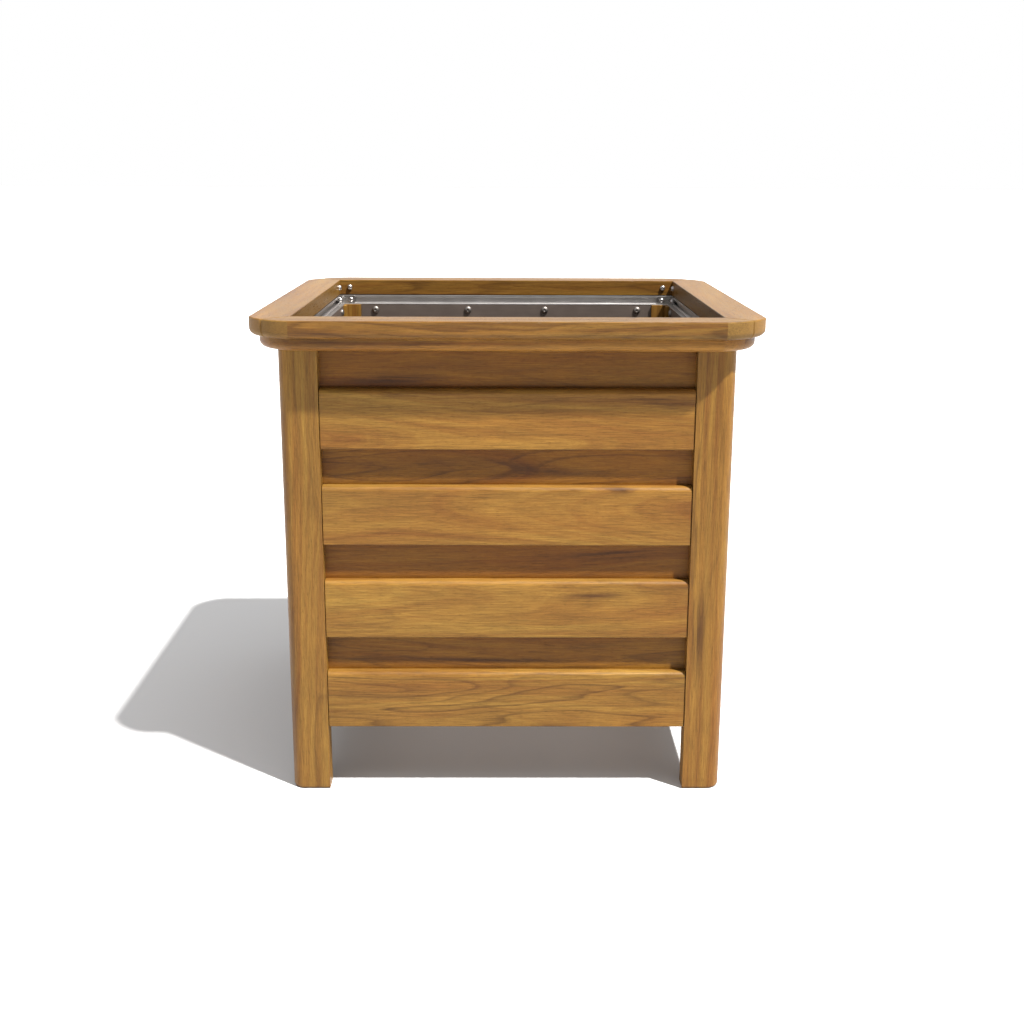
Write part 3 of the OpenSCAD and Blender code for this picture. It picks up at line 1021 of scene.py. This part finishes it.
def make_camera():
    """The camera, at a standing person's distance, looking slightly down."""
    stage = bpy.context.scene.planter_stage
    cp, sp = math.cos(stage.pitch), math.sin(stage.pitch)
    cy, sy = math.cos(stage.yaw), math.sin(stage.yaw)
    cr, sr = math.cos(stage.roll), math.sin(stage.roll)
    ahead = Vector((sy * cp, cy * cp, -sp))
    level = Vector((cy, -sy, 0.0))
    up = level.cross(ahead)
    right = cr * level + sr * up
    above = -sr * level + cr * up
    data = bpy.data.cameras.new("camera")
    data.lens = stage.lens
    data.sensor_width = 36.0
    data.clip_end = 200.0
    camera = put("camera", data)
    axes = Matrix((right, above, -ahead)).transposed().to_4x4()
    camera.matrix_world = Matrix.Translation(stage.eye) @ axes
    bpy.context.scene.camera = camera


def make_light():
    """A soft key from the front right, and an even white surround."""
    stage = bpy.context.scene.planter_stage
    data = bpy.data.lights.new("key", "SUN")
    data.energy = stage.sun_strength
    data.angle = stage.sun_angle
    data.color = (1.0, 0.985, 0.96)
    key = put("key", data)
    key.rotation_mode = "QUATERNION"
    key.rotation_quaternion = Vector(stage.sun_from).to_track_quat("Z", "Y")
    make_under_fill()
    world = bpy.data.worlds.new("surround")
    world.use_nodes = True
    w = Wiring.on(world)
    rise = w.add("SeparateXYZ", {0: w.add("TexCoord").outputs["Generated"]}).outputs["Z"]
    rise = w.maths("MAXIMUM", rise, 0.0)
    seen = w.blend(w.stretch(rise, 0.14, 0.60), solid(stage.horizon), solid(stage.sky))
    soft = w.maths("MULTIPLY_ADD", w.maths("POWER", rise, 4.0), stage.overhead, stage.low_fill)
    soft = w.equal(soft)
    path = w.add("LightPath")
    direct = w.maths("MAXIMUM", path.outputs["Is Camera Ray"], path.outputs["Is Glossy Ray"])
    w.feed(w.nodes["Background"].inputs["Color"], w.blend(direct, soft, seen))
    bpy.context.scene.world = world
    bpy.context.scene.view_settings.view_transform = "Standard"


def make_under_fill():
    """A faint warm glow under the walls, as from a bright studio floor."""
    data = bpy.data.lights.new("under fill", "AREA")
    data.energy = bpy.context.scene.planter_stage.under_fill
    data.size = 2 * -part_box("post_front_left")[1].x
    data.color = (1.0, 0.88, 0.80)
    glow = put("under fill", data)
    clear = 0.004
    glow.location.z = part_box(f"board_front_{ROWS[-1]}")[0].z - clear
    glow.visible_camera = False
    glow.visible_glossy = False


def make_floor():
    """A plain pale floor that runs out of sight."""
    stage = bpy.context.scene.planter_stage
    half = 60.0
    bm = bmesh.new()
    corners = ((-half, -half), (half, -half), (half, half), (-half, half))
    bm.faces.new([bm.verts.new((x, y, 0.0)) for x, y in corners])
    mesh = bpy.data.meshes.new("floor")
    bm.to_mesh(mesh)
    bm.free()
    w = Wiring("pale_floor")
    w.feed(w.shader.inputs["Base Color"], solid(stage.floor))
    w.shader.inputs["Roughness"].default_value = 0.9
    w.shader.inputs["Specular IOR Level"].default_value = 0.1
    mesh.materials.append(w.material)
    put("floor", mesh)


# --- operators ---


class PLANTER_OT_stage(bpy.types.Operator):
    """Make the floor, the light and the camera"""

    bl_idname = "planter.stage"
    bl_label = "Stage"

    def execute(self, context):
        make_camera()
        make_light()
        make_floor()
        return {"FINISHED"}


class PLANTER_OT_posts(bpy.types.Operator):
    """Make the four corner posts"""

    bl_idname = "planter.posts"
    bl_label = "Corner posts"

    def execute(self, context):
        make_posts()
        return {"FINISHED"}


class PLANTER_OT_boards(bpy.types.Operator):
    """Make the proud boards of the four walls"""

    bl_idname = "planter.boards"
    bl_label = "Proud boards"

    def execute(self, context):
        for n in ROWS:
            make_board(n)
        return {"FINISHED"}


class PLANTER_OT_infills(bpy.types.Operator):
    """Make the recessed boards of the four walls"""

    bl_idname = "planter.infills"
    bl_label = "Recessed boards"

    def execute(self, context):
        for n in ROWS:
            make_infill(n)
        return {"FINISHED"}


class PLANTER_OT_rim(bpy.types.Operator):
    """Make the cap rails, the bed moulding and the splines across the mitres"""

    bl_idname = "planter.rim"
    bl_label = "Rim"

    def execute(self, context):
        make_caps()
        make_mouldings()
        finish_splines()
        return {"FINISHED"}


class PLANTER_OT_floor_frame(bpy.types.Operator):
    """Make the battens and bearers under the floor plate"""

    bl_idname = "planter.floor_frame"
    bl_label = "Floor battens and bearers"

    def execute(self, context):
        make_floor_frame()
        return {"FINISHED"}


class PLANTER_OT_channels(bpy.types.Operator):
    """Make the ring of lipped steel channel and its corner plates"""

    bl_idname = "planter.channels"
    bl_label = "Channel ring"

    def execute(self, context):
        make_channels()
        make_corner_plates()
        return {"FINISHED"}


class PLANTER_OT_plates(bpy.types.Operator):
    """Make the lining plates and the perforated floor plate"""

    bl_idname = "planter.plates"
    bl_label = "Lining and floor plates"

    def execute(self, context):
        make_linings()
        make_floor_plate()
        return {"FINISHED"}


class PLANTER_OT_fasteners(bpy.types.Operator):
    """Make the screws of the cap and the bolts of the steelwork"""

    bl_idname = "planter.fasteners"
    bl_label = "Screws and bolts"

    def execute(self, context):
        make_cap_screws()
        make_plate_bolts()
        make_lining_bolts()
        return {"FINISHED"}


OPERATORS = (
    PLANTER_OT_stage,
    PLANTER_OT_posts,
    PLANTER_OT_boards,
    PLANTER_OT_infills,
    PLANTER_OT_rim,
    PLANTER_OT_floor_frame,
    PLANTER_OT_channels,
    PLANTER_OT_plates,
    PLANTER_OT_fasteners,
)


class PLANTER_PT_panel(bpy.types.Panel):
    """The planter's sizes, finishes and pieces"""

    bl_label = "Planter"
    bl_idname = "PLANTER_PT_panel"
    bl_space_type = "VIEW_3D"
    bl_region_type = "UI"
    bl_category = "Planter"

    def draw(self, context):
        for operator in OPERATORS:
            self.layout.operator(operator.bl_idname)
        for group in (context.scene.planter_shape, context.scene.planter_finish,
                      context.scene.planter_stage):
            box = self.layout.box()
            for name in group.bl_rna.properties.keys():
                if name not in ("rna_type", "name"):
                    box.prop(group, name)


GROUPS = {
    "planter_shape": PlanterShape,
    "planter_finish": PlanterFinish,
    "planter_stage": PlanterStage,
}


def register():
    for name, group in GROUPS.items():
        bpy.utils.register_class(group)
        setattr(bpy.types.Scene, name, bpy.props.PointerProperty(type=group))
    for cls in (*OPERATORS, PLANTER_PT_panel):
        bpy.utils.register_class(cls)


def unregister():
    for cls in reversed((*OPERATORS, PLANTER_PT_panel)):
        bpy.utils.unregister_class(cls)
    for name, group in GROUPS.items():
        delattr(bpy.types.Scene, name)
        bpy.utils.unregister_class(group)


def main():
    register()
    bpy.ops.planter.stage()
    bpy.ops.planter.posts()
    bpy.ops.planter.boards()
    bpy.ops.planter.infills()
    bpy.ops.planter.rim()
    bpy.ops.planter.floor_frame()
    bpy.ops.planter.channels()
    bpy.ops.planter.plates()
    bpy.ops.planter.fasteners()


if __name__ == "__main__":
    main()
